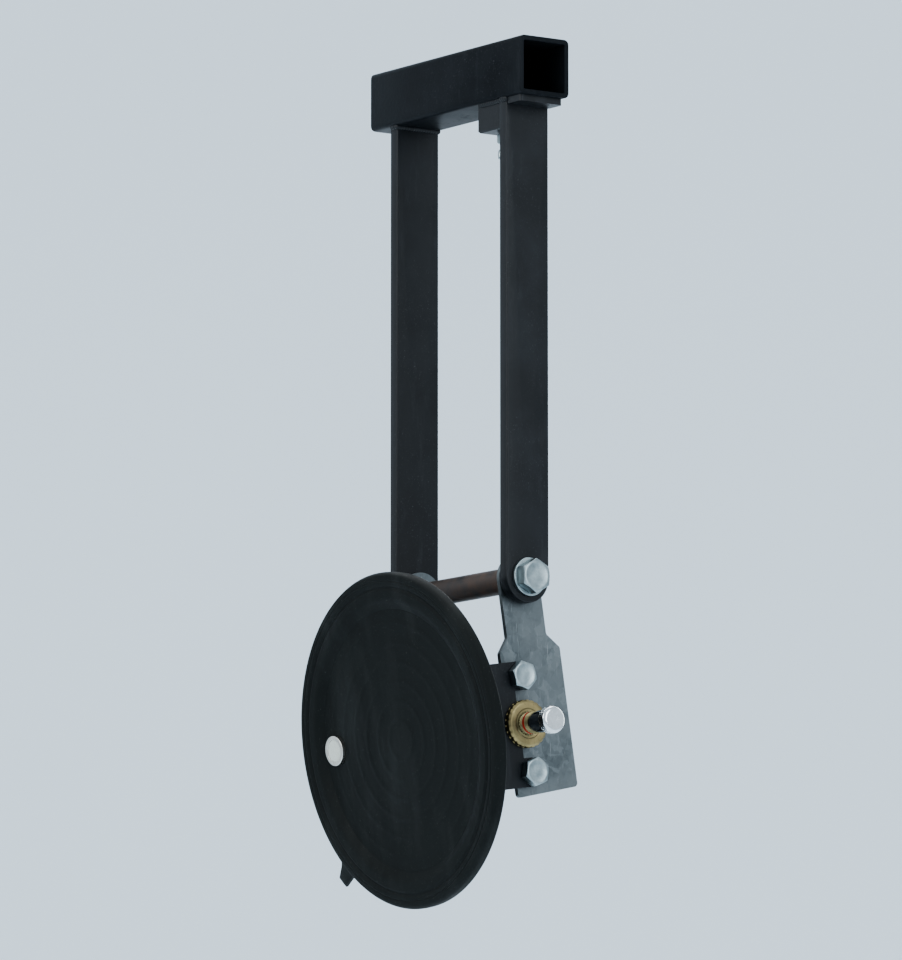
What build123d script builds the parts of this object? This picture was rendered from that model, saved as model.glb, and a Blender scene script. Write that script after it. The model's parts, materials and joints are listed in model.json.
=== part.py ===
"""Hand-pumped vacuum suction cup on its hanger, in millimetres.

The sleeve slides on a square beam that runs along X. Two flat legs hang from it and carry the
cup on one cross bolt. The suction face looks towards -Y and is tilted a little downwards.
The origin is the middle of the sleeve's square passage and +Z is up.
"""

import os
from math import cos, radians, sin, sqrt

from build123d import *

os.makedirs("parts", exist_ok=True)

# ---------------------------------------------------------------- driving dimensions
pad_diameter = 210.0  # rubber pad over its lip
pad_thickness = 15.0  # lip plane to the back of the rubber
rest_tilt = 9.0  # degrees that the suction face looks below the horizontal

beam_side = 30.0  # square beam that the sleeve slides on
sleeve_play = 0.5  # free space on each side of the beam
sleeve_wall = 3.0
sleeve_length = 165.0

leg_drop = 300.0  # underside of the sleeve to the pivot
leg_width = 32.0
leg_thickness = 8.0
leg_pitch = 120.0  # centre to centre of the two legs

pivot_depth = 70.0  # pivot behind the lip plane
pivot_rise = 90.0  # pivot above the middle of the pad
pivot_bolt_diameter = 12.0

plate_thickness = 3.0  # galvanised swivel plates
cheek_thickness = 4.0  # folded cradle
cradle_bolt_diameter = 10.0
cradle_bolt_pitch = 60.0  # the two bolts of one side
cradle_bolt_depth = 58.0

pump_depth = 57.0  # pump axis behind the lip plane
pump_bore = 20.0
pump_wall = 3.0
plunger_diameter = 14.0
stroke = 20.0
head_gap = 0.5  # pump head to the cradle's cheek
inlet_setback = 12.0  # inlet to the pump head's inner face

# ---------------------------------------------------------------- named clearances
thread_play = 0.05  # a nut or plug on its thread
hole_play = 0.25  # a bolt in a drilled hole
hinge_play = 0.08  # the pivot bolt in the swivel plates
running_play = 0.06  # plunger in its gland
seal_play = 0.05  # piston seal in the bore
piston_play = 0.4  # piston body in the bore
side_gap = 0.05  # each face of the thrust washers

# ---------------------------------------------------------------- the two frames
sleeve_bore = beam_side + 2 * sleeve_play
sleeve_side = sleeve_bore + 2 * sleeve_wall
pivot_z = -sleeve_side / 2 - leg_drop
tilt = radians(rest_tilt)
pivot = Vector(0, 0, pivot_z)
facing = Vector(0, -cos(tilt), -sin(tilt))
back = Vector(0, cos(tilt), sin(tilt))
upward = Vector(0, -sin(tilt), cos(tilt))
face_centre = pivot - upward * pivot_rise + facing * pivot_depth
cup_axis = Axis(face_centre, back)


def behind(depth):
    """Plane parallel to the pad, depth behind the lip: x along X, y up the face, normal forwards."""
    return Plane(origin=face_centre + back * depth, x_dir=(1, 0, 0), z_dir=facing)


def side(x):
    """Plane across X in the cup: its first axis is the depth behind the lip, its second is up."""
    return Plane(origin=face_centre + Vector(x, 0, 0), x_dir=back, z_dir=(1, 0, 0))


def section(x=0.0):
    """Plane that holds the cup's axis: its first axis is X, its second is the depth."""
    return Plane(origin=face_centre + Vector(x, 0, 0), x_dir=(1, 0, 0), z_dir=upward)


def pump_plane(x):
    """Plane across the pump, with its origin on the pump's axis."""
    return Plane(origin=face_centre + back * pump_depth + Vector(x, 0, 0), x_dir=back, z_dir=(1, 0, 0))


def pivot_plane(x):
    """Plane across the pivot bolt, square to the legs."""
    return Plane(origin=pivot + Vector(x, 0, 0), x_dir=(0, 1, 0), z_dir=(1, 0, 0))


def save(piece, name):
    """Label a finished piece and write its file."""
    piece.part.label = name
    export_step(piece.part, f"parts/{name}.step")


# ---------------------------------------------------------------- stations along X
leg_inner = leg_pitch / 2 - leg_thickness / 2
leg_outer = leg_pitch / 2 + leg_thickness / 2
thrust_washer_thickness = 1.4
plate_outer = leg_inner - thrust_washer_thickness - 2 * side_gap
plate_inner = plate_outer - plate_thickness
cheek_outer = plate_outer + cheek_thickness
inlet_offset = cheek_outer + head_gap + inlet_setback  # towards -X from the middle of the pad

# ---------------------------------------------------------------- beam sleeve
sleeve_corner = 3.0
clamp_screw_diameter = 8.0
clamp_block_length = 24.0
clamp_block_width = 30.0
clamp_block_height = 18.0
clamp_x = leg_inner - clamp_block_length / 2

with BuildPart() as beam_sleeve:
    with BuildSketch(Plane.YZ.offset(-sleeve_length / 2)):
        RectangleRounded(sleeve_side, sleeve_side, sleeve_corner)
        Rectangle(sleeve_bore, sleeve_bore, mode=Mode.SUBTRACT)
    extrude(amount=sleeve_length)
    with BuildSketch(Plane.XY.offset(-sleeve_side)):
        with Locations((clamp_x, 0)):
            Circle(clamp_screw_diameter / 2 + hole_play)
    extrude(amount=sleeve_side, mode=Mode.SUBTRACT)
save(beam_sleeve, "beam_sleeve")

# ---------------------------------------------------------------- hanger legs
leg_edge_break = 0.8
for hand, sign in (("left", -1), ("right", 1)):
    with BuildPart() as leg:
        with BuildSketch(pivot_plane(sign * leg_pitch / 2)):
            with Locations((0, leg_drop / 2)):
                Rectangle(leg_width, leg_drop)
            Circle(leg_width / 2)
            Circle(pivot_bolt_diameter / 2 + hole_play, mode=Mode.SUBTRACT)
        extrude(amount=leg_thickness / 2, both=True)
        flat_faces = leg.faces().filter_by(Axis.X)
        chamfer(flat_faces.edges().filter_by(Axis.Z), leg_edge_break)
    save(leg, f"leg_{hand}")

# ---------------------------------------------------------------- stop flange on the right leg
flange_reach = 15.0
flange_thickness = 4.0
with BuildPart() as stop_flange:
    with BuildSketch(Plane.XY.offset(-sleeve_side / 2 - flange_thickness)):
        with Locations((leg_outer + flange_reach / 2, 0)):
            RectangleRounded(flange_reach, leg_width, 2.0)
    extrude(amount=flange_thickness)
save(stop_flange, "stop_flange")

# ---------------------------------------------------------------- beam clamp
with BuildPart() as clamp_block:
    with BuildSketch(Plane.XY.offset(-sleeve_side / 2 - clamp_block_height)):
        with Locations((clamp_x, 0)):
            Rectangle(clamp_block_length, clamp_block_width)
            Circle(clamp_screw_diameter / 2 + thread_play, mode=Mode.SUBTRACT)
    extrude(amount=clamp_block_height)
    chamfer(clamp_block.faces().sort_by(Axis.Z)[0].outer_wire().edges(), 1.0)
save(clamp_block, "clamp_block")

screw_tip_z = -beam_side / 2 - 0.2
block_bottom_z = -sleeve_side / 2 - clamp_block_height
locknut_height = 6.5
locknut_top_z = block_bottom_z - 0.3
screw_head_height = 5.5
screw_head_flats = 13.0
screw_neck = 4.0
screw_head_top_z = locknut_top_z - locknut_height - screw_neck

with BuildPart() as clamp_screw:
    with BuildSketch(Plane.XY.offset(screw_head_top_z)):
        with Locations((clamp_x, 0)):
            Circle(clamp_screw_diameter / 2)
    extrude(amount=screw_tip_z - screw_head_top_z)
    chamfer(clamp_screw.faces().sort_by(Axis.Z)[-1].edges(), 1.0)
    with BuildSketch(Plane.XY.offset(screw_head_top_z - screw_head_height)):
        with Locations((clamp_x, 0)):
            RegularPolygon(screw_head_flats / 2, 6, major_radius=False)
    extrude(amount=screw_head_height)
save(clamp_screw, "clamp_screw")

with BuildPart() as clamp_locknut:
    with BuildSketch(Plane.XY.offset(locknut_top_z - locknut_height)):
        with Locations((clamp_x, 0)):
            RegularPolygon(screw_head_flats / 2, 6, major_radius=False)
            Circle(clamp_screw_diameter / 2 + thread_play, mode=Mode.SUBTRACT)
    extrude(amount=locknut_height)
save(clamp_locknut, "clamp_locknut")

# ---------------------------------------------------------------- pivot bolt, nut and washers
pivot_washer_thickness = 2.5
pivot_washer_radius = 12.0
pivot_head_height = 7.5
pivot_head_flats = 19.0
pivot_nut_height = 12.0
pivot_bolt_end = 1.5
washer_face = leg_outer + pivot_washer_thickness
pivot_bolt_length = 2 * washer_face + pivot_nut_height + pivot_bolt_end

with BuildPart() as pivot_bolt:
    with BuildSketch(pivot_plane(washer_face)):
        Circle(pivot_bolt_diameter / 2)
    extrude(amount=-pivot_bolt_length)
    chamfer(pivot_bolt.faces().sort_by(Axis.X)[0].edges(), 1.0)
    with BuildSketch(pivot_plane(washer_face)):
        RegularPolygon(pivot_head_flats / 2, 6, major_radius=False)
    extrude(amount=pivot_head_height)
save(pivot_bolt, "pivot_bolt")

with BuildPart() as pivot_nut:
    with BuildSketch(pivot_plane(-washer_face)):
        RegularPolygon(pivot_head_flats / 2, 6, major_radius=False)
        Circle(pivot_bolt_diameter / 2 + thread_play, mode=Mode.SUBTRACT)
    extrude(amount=-pivot_nut_height)
save(pivot_nut, "pivot_nut")

with BuildPart() as pivot_washers:
    with BuildSketch(pivot_plane(leg_outer)):
        Circle(pivot_washer_radius)
        Circle(pivot_bolt_diameter / 2 + hole_play, mode=Mode.SUBTRACT)
    extrude(amount=pivot_washer_thickness)
    mirror(about=Plane.YZ)
save(pivot_washers, "pivot_washers")

with BuildPart() as thrust_washers:
    with BuildSketch(pivot_plane(plate_outer + side_gap)):
        Circle(pivot_washer_radius)
        Circle(pivot_bolt_diameter / 2 + hole_play, mode=Mode.SUBTRACT)
    extrude(amount=thrust_washer_thickness)
    mirror(about=Plane.YZ)
save(thrust_washers, "thrust_washers")

# ---------------------------------------------------------------- rubber pad
pad_radius = pad_diameter / 2
lip_edge = 9.0  # thickness of the rubber at its rim
lip_width = 17.0  # sealing lip, from the rim inwards
lip_slope = 6.0
rim_slope = 14.0
recess_depth = 4.0
rim_round = 2.0
ring_groove = 1.2
ring_radius = pad_radius - lip_width / 2
tab_reach = 12.0
tab_root = 6.5  # half its width where it leaves the rim
tab_tip = 5.0
tab_angle = 225.0
tab_thickness = 4.0
ferrule_radius = 9.5
ferrule_tube_radius = 5.0
backing_thickness = 5.0
backing_inset = 7.0  # from the edge of the rubber's flat back
head_screw_diameter = 5.0
head_screw_offset = inlet_offset + 7.0
head_screw_rise = 9.5
head_screw_margin = 10.0  # metal kept outside the head screws
backing_radius = max(pad_radius - rim_slope - backing_inset, head_screw_offset + head_screw_margin)
backing_back = pad_thickness + backing_thickness

with BuildPart() as suction_pad:
    with BuildSketch(section()):
        with BuildLine():
            Polyline(
                (0, recess_depth),
                (pad_radius - lip_width - lip_slope, recess_depth),
                (pad_radius - lip_width, 0),
                (ring_radius - ring_groove, 0),
                (ring_radius, ring_groove),
                (ring_radius + ring_groove, 0),
                (pad_radius - rim_round, 0),
                (pad_radius, rim_round),
                (pad_radius, lip_edge),
                (pad_radius - rim_slope, pad_thickness),
                (0, pad_thickness),
                (0, recess_depth),
            )
        make_face()
    revolve(axis=cup_axis)
    with BuildSketch(behind(rim_round)):
        with PolarLocations(pad_radius, 1, start_angle=tab_angle):
            Polygon(
                (-tab_reach, -tab_root),
                (tab_reach, -tab_tip),
                (tab_reach, tab_tip),
                (-tab_reach, tab_root),
                align=None,
            )
    extrude(amount=-tab_thickness)
    with BuildSketch(behind(0)):
        with Locations((-inlet_offset, 0)):
            Circle(ferrule_tube_radius + thread_play)
    extrude(amount=-pad_thickness, mode=Mode.SUBTRACT)
    with BuildSketch(behind(0)):
        with Locations((-inlet_offset, 0)):
            Circle(ferrule_radius + hole_play)
    extrude(amount=-recess_depth, mode=Mode.SUBTRACT)
save(suction_pad, "suction_pad")

# ---------------------------------------------------------------- cradle and what bolts it down
ear_radius = 9.0
fold_radius = 1.5  # inside the folds between web and cheeks
ear_recess_depth = 53.0
cheek_rise = cradle_bolt_pitch / 2 + ear_radius
cheek_inner = plate_outer
web_back = backing_back + cheek_thickness
cylinder_radius = pump_bore / 2 + pump_wall
pump_hole_radius = cylinder_radius + 0.3
cradle_bolt_rise = cradle_bolt_pitch / 2
cradle_bolt_spots = ((cradle_bolt_depth, cradle_bolt_rise), (cradle_bolt_depth, -cradle_bolt_rise))
cradle_screw_diameter = 6.0
cradle_screw_x = 35.0
cradle_screw_rise = 24.0
cradle_screw_head = 4.0
cradle_screw_flats = 10.0
screw_engagement = 4.5  # how far the screws reach into the backing plate

with BuildPart() as cradle:
    with BuildSketch(behind(backing_back)):
        Rectangle(2 * cheek_outer, 2 * cheek_rise)
        with GridLocations(2 * cradle_screw_x, 2 * cradle_screw_rise, 2, 2):
            Circle(cradle_screw_diameter / 2 + hole_play, mode=Mode.SUBTRACT)
    extrude(amount=-cheek_thickness)
    with BuildSketch(side(cheek_inner)):
        with Locations(((backing_back + ear_recess_depth) / 2, 0)):
            Rectangle(ear_recess_depth - backing_back, 2 * cheek_rise)
        with Locations(*cradle_bolt_spots):
            Circle(ear_radius)
        with Locations(*[((ear_recess_depth + d) / 2, u) for d, u in cradle_bolt_spots]):
            Rectangle(cradle_bolt_depth - ear_recess_depth, 2 * ear_radius)
        with Locations(*cradle_bolt_spots):
            Circle(cradle_bolt_diameter / 2 + hole_play, mode=Mode.SUBTRACT)
        with Locations((pump_depth, 0)):
            Circle(pump_hole_radius, mode=Mode.SUBTRACT)
    extrude(amount=cheek_thickness)
    mirror(about=Plane.YZ)
    folds = cradle.edges().filter_by(Axis(face_centre, upward)).sort_by(Axis(face_centre, back))
    fillet(folds[:2], fold_radius + cheek_thickness)
    inner_folds = cradle.edges().filter_by(Axis(face_centre, upward)).filter_by(
        lambda edge: abs(abs(edge.center().X) - cheek_inner) < thread_play
        and abs((edge.center() - face_centre).dot(back) - web_back) < thread_play
    )
    fillet(inner_folds, fold_radius)
save(cradle, "cradle")

head_screw_spots = ((-head_screw_offset, head_screw_rise), (-head_screw_offset, -head_screw_rise))

with BuildPart() as backing_plate:
    with BuildSketch(behind(pad_thickness)):
        Circle(backing_radius)
        with GridLocations(2 * cradle_screw_x, 2 * cradle_screw_rise, 2, 2):
            Circle(cradle_screw_diameter / 2 + thread_play, mode=Mode.SUBTRACT)
        with Locations((-inlet_offset, 0)):
            Circle(ferrule_tube_radius + thread_play, mode=Mode.SUBTRACT)
    extrude(amount=-backing_thickness)
    chamfer(backing_plate.edges().filter_by(GeomType.CIRCLE).sort_by(SortBy.RADIUS)[-1], 1.0)
    with BuildSketch(behind(pad_thickness)):
        with Locations(*head_screw_spots):
            Circle(head_screw_diameter / 2 + thread_play)
    extrude(amount=-backing_thickness, mode=Mode.SUBTRACT)
save(backing_plate, "backing_plate")

with BuildPart() as cradle_screws:
    with BuildSketch(behind(web_back)):
        with GridLocations(2 * cradle_screw_x, 2 * cradle_screw_rise, 2, 2):
            Circle(cradle_screw_diameter / 2)
    extrude(amount=cheek_thickness + screw_engagement)
    with BuildSketch(behind(web_back)):
        with GridLocations(2 * cradle_screw_x, 2 * cradle_screw_rise, 2, 2):
            RegularPolygon(cradle_screw_flats / 2, 6, major_radius=False)
    extrude(amount=-cradle_screw_head)
save(cradle_screws, "cradle_screws")

# ---------------------------------------------------------------- swivel plates
neck_half = 15.0
neck_foot = 54.0  # above the middle of the pad
shoulder = 45.0
plate_front = 48.0
plate_back = 94.0
plate_bottom_front = -45.0
plate_bottom_back = -42.0
plate_corner = 2.5

for hand, sign in (("left", -1), ("right", 1)):
    with BuildPart() as swivel_plate:
        with BuildSketch(side(sign * (plate_inner + plate_outer) / 2)):
            with BuildLine():
                FilletPolyline(
                    (pivot_depth - neck_half, pivot_rise),
                    (pivot_depth - neck_half, neck_foot),
                    (plate_front, shoulder),
                    (plate_front, plate_bottom_front),
                    (plate_back, plate_bottom_back),
                    (plate_back, shoulder),
                    (pivot_depth + neck_half, neck_foot),
                    (pivot_depth + neck_half, pivot_rise),
                    radius=plate_corner,
                )
                ThreePointArc(
                    (pivot_depth + neck_half, pivot_rise),
                    (pivot_depth, pivot_rise + neck_half),
                    (pivot_depth - neck_half, pivot_rise),
                )
            make_face()
            with Locations((pivot_depth, pivot_rise)):
                Circle(pivot_bolt_diameter / 2 + hinge_play, mode=Mode.SUBTRACT)
            with Locations(*cradle_bolt_spots):
                Circle(cradle_bolt_diameter / 2 + hole_play, mode=Mode.SUBTRACT)
            with Locations((pump_depth, 0)):
                Circle(pump_hole_radius, mode=Mode.SUBTRACT)
        extrude(amount=plate_thickness / 2, both=True)
    save(swivel_plate, f"swivel_plate_{hand}")

spacer_radius = 8.0
with BuildPart() as spacer_tube:
    with BuildSketch(side(plate_inner)):
        with Locations((pivot_depth, pivot_rise)):
            Circle(spacer_radius)
            Circle(pivot_bolt_diameter / 2 + 2 * hole_play, mode=Mode.SUBTRACT)
    extrude(amount=-2 * plate_inner)
save(spacer_tube, "spacer_tube")

# ---------------------------------------------------------------- bolts through cradle and plates
plate_bolt_head = 6.4
plate_bolt_flats = 16.0
plate_washer_thickness = 2.0
plate_washer_radius = 9.5
plate_nut_height = 8.0
plate_bolt_end = 1.5
nut_face = plate_inner - plate_washer_thickness

with BuildPart() as plate_bolts:
    with BuildSketch(side(cheek_outer)):
        with Locations(*cradle_bolt_spots):
            Circle(cradle_bolt_diameter / 2)
    extrude(amount=nut_face - plate_nut_height - plate_bolt_end - cheek_outer)
    with BuildSketch(side(cheek_outer)):
        with Locations(*cradle_bolt_spots):
            RegularPolygon(plate_bolt_flats / 2, 6, major_radius=False)
    extrude(amount=plate_bolt_head)
    mirror(about=Plane.YZ)
save(plate_bolts, "plate_bolts")

with BuildPart() as plate_washers:
    with BuildSketch(side(plate_inner)):
        with Locations(*cradle_bolt_spots):
            Circle(plate_washer_radius)
            Circle(cradle_bolt_diameter / 2 + hole_play, mode=Mode.SUBTRACT)
    extrude(amount=-plate_washer_thickness)
    mirror(about=Plane.YZ)
save(plate_washers, "plate_washers")

with BuildPart() as plate_nuts:
    with BuildSketch(side(nut_face)):
        with Locations(*cradle_bolt_spots):
            RegularPolygon(plate_bolt_flats / 2, 6, major_radius=False)
            Circle(cradle_bolt_diameter / 2 + thread_play, mode=Mode.SUBTRACT)
    extrude(amount=-plate_nut_height)
    mirror(about=Plane.YZ)
save(plate_nuts, "plate_nuts")

# ---------------------------------------------------------------- inlet in the suction face
ferrule_front = 1.5
ferrule_bore = 7.0
felt_seat = 3.0
felt_recess = 0.2

with BuildPart() as inlet_ferrule:
    with BuildSketch(behind(recess_depth)):
        with Locations((-inlet_offset, 0)):
            Circle(ferrule_radius)
    extrude(amount=recess_depth - ferrule_front)
    with BuildSketch(behind(recess_depth)):
        with Locations((-inlet_offset, 0)):
            Circle(ferrule_tube_radius)
    extrude(amount=-(backing_back - recess_depth))
    with BuildSketch(behind(felt_seat)):
        with Locations((-inlet_offset, 0)):
            Circle(ferrule_bore + thread_play)
    extrude(amount=felt_seat - ferrule_front, mode=Mode.SUBTRACT)
    with BuildSketch(behind(0)):
        with Locations((-inlet_offset, 0)):
            Circle(ferrule_tube_radius / 2)
    extrude(amount=-backing_back, mode=Mode.SUBTRACT)
save(inlet_ferrule, "inlet_ferrule")

with BuildPart() as felt_filter:
    with BuildSketch(behind(felt_seat)):
        with Locations((-inlet_offset, 0)):
            Circle(ferrule_bore)
    extrude(amount=felt_seat - ferrule_front - felt_recess)
save(felt_filter, "felt_filter")

# ---------------------------------------------------------------- hand pump: fixed pieces
head_face = -cheek_outer - head_gap
head_length = 24.0
head_end = head_face - head_length
head_rise = cylinder_radius + 3.0
head_back = pump_depth + cylinder_radius + 2.0
socket_depth = 6.0
cylinder_end = head_face - socket_depth
gland_face = cheek_outer + 0.3
gland_flange = 4.2
gland_spigot = 10.8
gland_radius = cylinder_radius + 2.0
gland_outer = gland_face + gland_flange
passage_radius = 2.5
ball_radius = 3.0
ball_chamber_radius = 3.7
seat_radius = 2.0
seat_outer = 5.0
seat_depth = 30.0
chamber_end = 41.0
plug_spigot = 8.0
plug_head = 6.0
plug_flats = 17.0
head_screw_head = 4.5
head_screw_recess = 5.0

with BuildPart() as pump_cylinder:
    with BuildSketch(pump_plane(cylinder_end)):
        Circle(cylinder_radius)
        Circle(pump_bore / 2, mode=Mode.SUBTRACT)
    extrude(amount=gland_face - cylinder_end)
save(pump_cylinder, "pump_cylinder")

with BuildPart() as pump_gland:
    with BuildSketch(pump_plane(gland_face)):
        Circle(gland_radius)
    extrude(amount=gland_flange)
    chamfer(pump_gland.faces().sort_by(Axis.X)[-1].edges(), 1.0)
    with BuildSketch(pump_plane(gland_face)):
        Circle(pump_bore / 2 - thread_play)
    extrude(amount=-gland_spigot)
    with BuildSketch(pump_plane(gland_face - gland_spigot)):
        Circle(plunger_diameter / 2 + running_play)
    extrude(amount=gland_spigot + gland_flange, mode=Mode.SUBTRACT)
save(pump_gland, "pump_gland")

with BuildPart() as pump_head:
    with BuildSketch(pump_plane(head_end)):
        with Locations(((backing_back + head_back) / 2 - pump_depth, 0)):
            RectangleRounded(head_back - backing_back, 2 * head_rise, 3.0)
    extrude(amount=head_length)
    with BuildSketch(pump_plane(head_face)):
        Circle(cylinder_radius + thread_play)
    extrude(amount=-socket_depth, mode=Mode.SUBTRACT)
    with BuildSketch(pump_plane(head_end)):
        Circle(seat_outer + thread_play)
    extrude(amount=plug_spigot, mode=Mode.SUBTRACT)
    with BuildSketch(pump_plane(head_end)):
        Circle(passage_radius)
    extrude(amount=head_length, mode=Mode.SUBTRACT)
    with BuildSketch(behind(backing_back)):
        with Locations((-inlet_offset, 0)):
            Circle(seat_outer + thread_play)
    extrude(amount=-(seat_depth - backing_back), mode=Mode.SUBTRACT)
    with BuildSketch(behind(backing_back)):
        with Locations((-inlet_offset, 0)):
            Circle(ball_chamber_radius)
    extrude(amount=-(chamber_end - backing_back), mode=Mode.SUBTRACT)
    with BuildSketch(behind(backing_back)):
        with Locations((-inlet_offset, 0)):
            Circle(passage_radius)
    extrude(amount=-(pump_depth - backing_back), mode=Mode.SUBTRACT)
    with BuildSketch(behind(head_back)):
        with Locations(*head_screw_spots):
            Circle(head_screw_diameter / 2 + hole_play)
    extrude(amount=head_back - backing_back, mode=Mode.SUBTRACT)
    with BuildSketch(behind(head_back)):
        with Locations(*head_screw_spots):
            Circle(head_screw_head + hole_play)
    extrude(amount=head_screw_recess, mode=Mode.SUBTRACT)
save(pump_head, "pump_head")

with BuildPart() as head_plug:
    with BuildSketch(pump_plane(head_end)):
        RegularPolygon(plug_flats / 2, 6, major_radius=False)
    extrude(amount=-plug_head)
    with BuildSketch(pump_plane(head_end)):
        Circle(seat_outer)
    extrude(amount=plug_spigot - 1.0)
save(head_plug, "head_plug")

with BuildPart() as head_screws:
    with BuildSketch(behind(head_back - head_screw_recess)):
        with Locations(*head_screw_spots):
            Circle(head_screw_diameter / 2)
    extrude(amount=head_back - head_screw_recess - backing_back + screw_engagement)
    with BuildSketch(behind(head_back - head_screw_recess)):
        with Locations(*head_screw_spots):
            Circle(head_screw_head)
            RegularPolygon(2.0, 6, major_radius=False, mode=Mode.SUBTRACT)
    extrude(amount=-head_screw_recess)
save(head_screws, "head_screws")

# ---------------------------------------------------------------- intake valve
with BuildPart() as valve_seat:
    with BuildSketch(behind(backing_back + side_gap)):
        with Locations((-inlet_offset, 0)):
            Circle(seat_outer)
            Circle(seat_radius, mode=Mode.SUBTRACT)
    extrude(amount=-(seat_depth - backing_back - 2 * side_gap))
save(valve_seat, "valve_seat")

ball_depth = seat_depth + sqrt(ball_radius**2 - seat_radius**2)
with BuildPart() as intake_ball:
    with Locations(Location(face_centre + back * ball_depth + Vector(-inlet_offset, 0, 0))):
        Sphere(ball_radius)
save(intake_ball, "intake_ball")

ball_spring_wire = 0.5
ball_spring_turns = 4
ball_spring_radius = 2.6
ball_spring_start = ball_depth + ball_radius + ball_spring_wire / 2 + side_gap
ball_spring_length = chamber_end - ball_spring_start - ball_spring_wire / 2 - side_gap
ball_spring_base = face_centre + back * ball_spring_start + Vector(-inlet_offset, 0, 0)
with BuildPart() as ball_spring:
    with BuildLine():
        ball_coil = Helix(
            pitch=ball_spring_length / ball_spring_turns,
            height=ball_spring_length,
            radius=ball_spring_radius,
            center=ball_spring_base,
            direction=back,
        )
    with BuildSketch(Plane(origin=ball_coil @ 0, z_dir=ball_coil % 0)):
        Circle(ball_spring_wire / 2)
    sweep(path=ball_coil, is_frenet=True)
save(ball_spring, "ball_spring")

# ---------------------------------------------------------------- hand pump: moving pieces
piston_length = 10.0
piston_gap = 0.3
piston_front = gland_face - gland_spigot - piston_gap
piston_rear = piston_front - piston_length
knob_gap = 0.5
knob_face = gland_outer + stroke + knob_gap
knob_length = 7.0
knob_radius = 8.5
band_start = gland_outer + 2.5
band_length = 2.0
band_groove = 0.6
tenon_radius = 4.0
tenon_length = piston_length
seal_groove = 2.5
seal_width = 4.0

with BuildPart() as plunger:
    with BuildSketch(pump_plane(piston_front)):
        Circle(plunger_diameter / 2)
    extrude(amount=knob_face - piston_front)
    with BuildSketch(pump_plane(band_start)):
        Circle(plunger_diameter / 2)
        Circle(plunger_diameter / 2 - band_groove, mode=Mode.SUBTRACT)
    extrude(amount=band_length, mode=Mode.SUBTRACT)
    with BuildSketch(pump_plane(piston_front)):
        Circle(tenon_radius)
    extrude(amount=-(tenon_length + 6.0))
save(plunger, "plunger")

with BuildPart() as plunger_knob:
    with BuildSketch(pump_plane(knob_face)):
        Circle(knob_radius)
    extrude(amount=knob_length)
    fillet(plunger_knob.edges().filter_by(GeomType.CIRCLE), 1.6)
save(plunger_knob, "plunger_knob")

with BuildPart() as red_line_band:
    with BuildSketch(pump_plane(band_start)):
        Circle(plunger_diameter / 2 - thread_play)
        Circle(plunger_diameter / 2 - band_groove + thread_play, mode=Mode.SUBTRACT)
    extrude(amount=band_length)
save(red_line_band, "red_line_band")

with BuildPart() as piston:
    with BuildSketch(pump_plane(piston_rear)):
        Circle(pump_bore / 2 - piston_play)
        Circle(tenon_radius + thread_play, mode=Mode.SUBTRACT)
    extrude(amount=piston_length)
    with BuildSketch(pump_plane(piston_rear + (piston_length - seal_width) / 2)):
        Circle(pump_bore / 2)
        Circle(pump_bore / 2 - seal_groove, mode=Mode.SUBTRACT)
    extrude(amount=seal_width, mode=Mode.SUBTRACT)
save(piston, "piston")

with BuildPart() as piston_seal:
    with BuildSketch(pump_plane(piston_rear + (piston_length - seal_width) / 2)):
        Circle(pump_bore / 2 - seal_play)
        Circle(pump_bore / 2 - seal_groove + thread_play, mode=Mode.SUBTRACT)
    extrude(amount=seal_width)
save(piston_seal, "piston_seal")

piston_nut_height = 5.0
piston_nut_flats = 12.0
with BuildPart() as piston_nut:
    with BuildSketch(pump_plane(piston_rear)):
        RegularPolygon(piston_nut_flats / 2, 6, major_radius=False)
        Circle(tenon_radius + thread_play, mode=Mode.SUBTRACT)
    extrude(amount=-piston_nut_height)
save(piston_nut, "piston_nut")

spring_wire = 1.4
spring_radius = pump_bore / 2 - spring_wire / 2 - 0.6
spring_turns = 9
spring_end_gap = 0.1
spring_start = cylinder_end + spring_wire / 2 + spring_end_gap
spring_length = piston_rear - spring_start - spring_wire / 2 - spring_end_gap
with BuildPart() as pump_spring:
    with BuildLine():
        pump_coil = Helix(
            pitch=spring_length / spring_turns,
            height=spring_length,
            radius=spring_radius,
            center=face_centre + back * pump_depth + Vector(spring_start, 0, 0),
            direction=(1, 0, 0),
        )
    with BuildSketch(Plane(origin=pump_coil @ 0, z_dir=pump_coil % 0)):
        Circle(spring_wire / 2)
    sweep(path=pump_coil, is_frenet=True)
save(pump_spring, "pump_spring")
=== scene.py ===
"""Vacuum suction cup on its beam hanger: finishes, refined pieces, studio and camera, in metres."""

import json
import math

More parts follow.
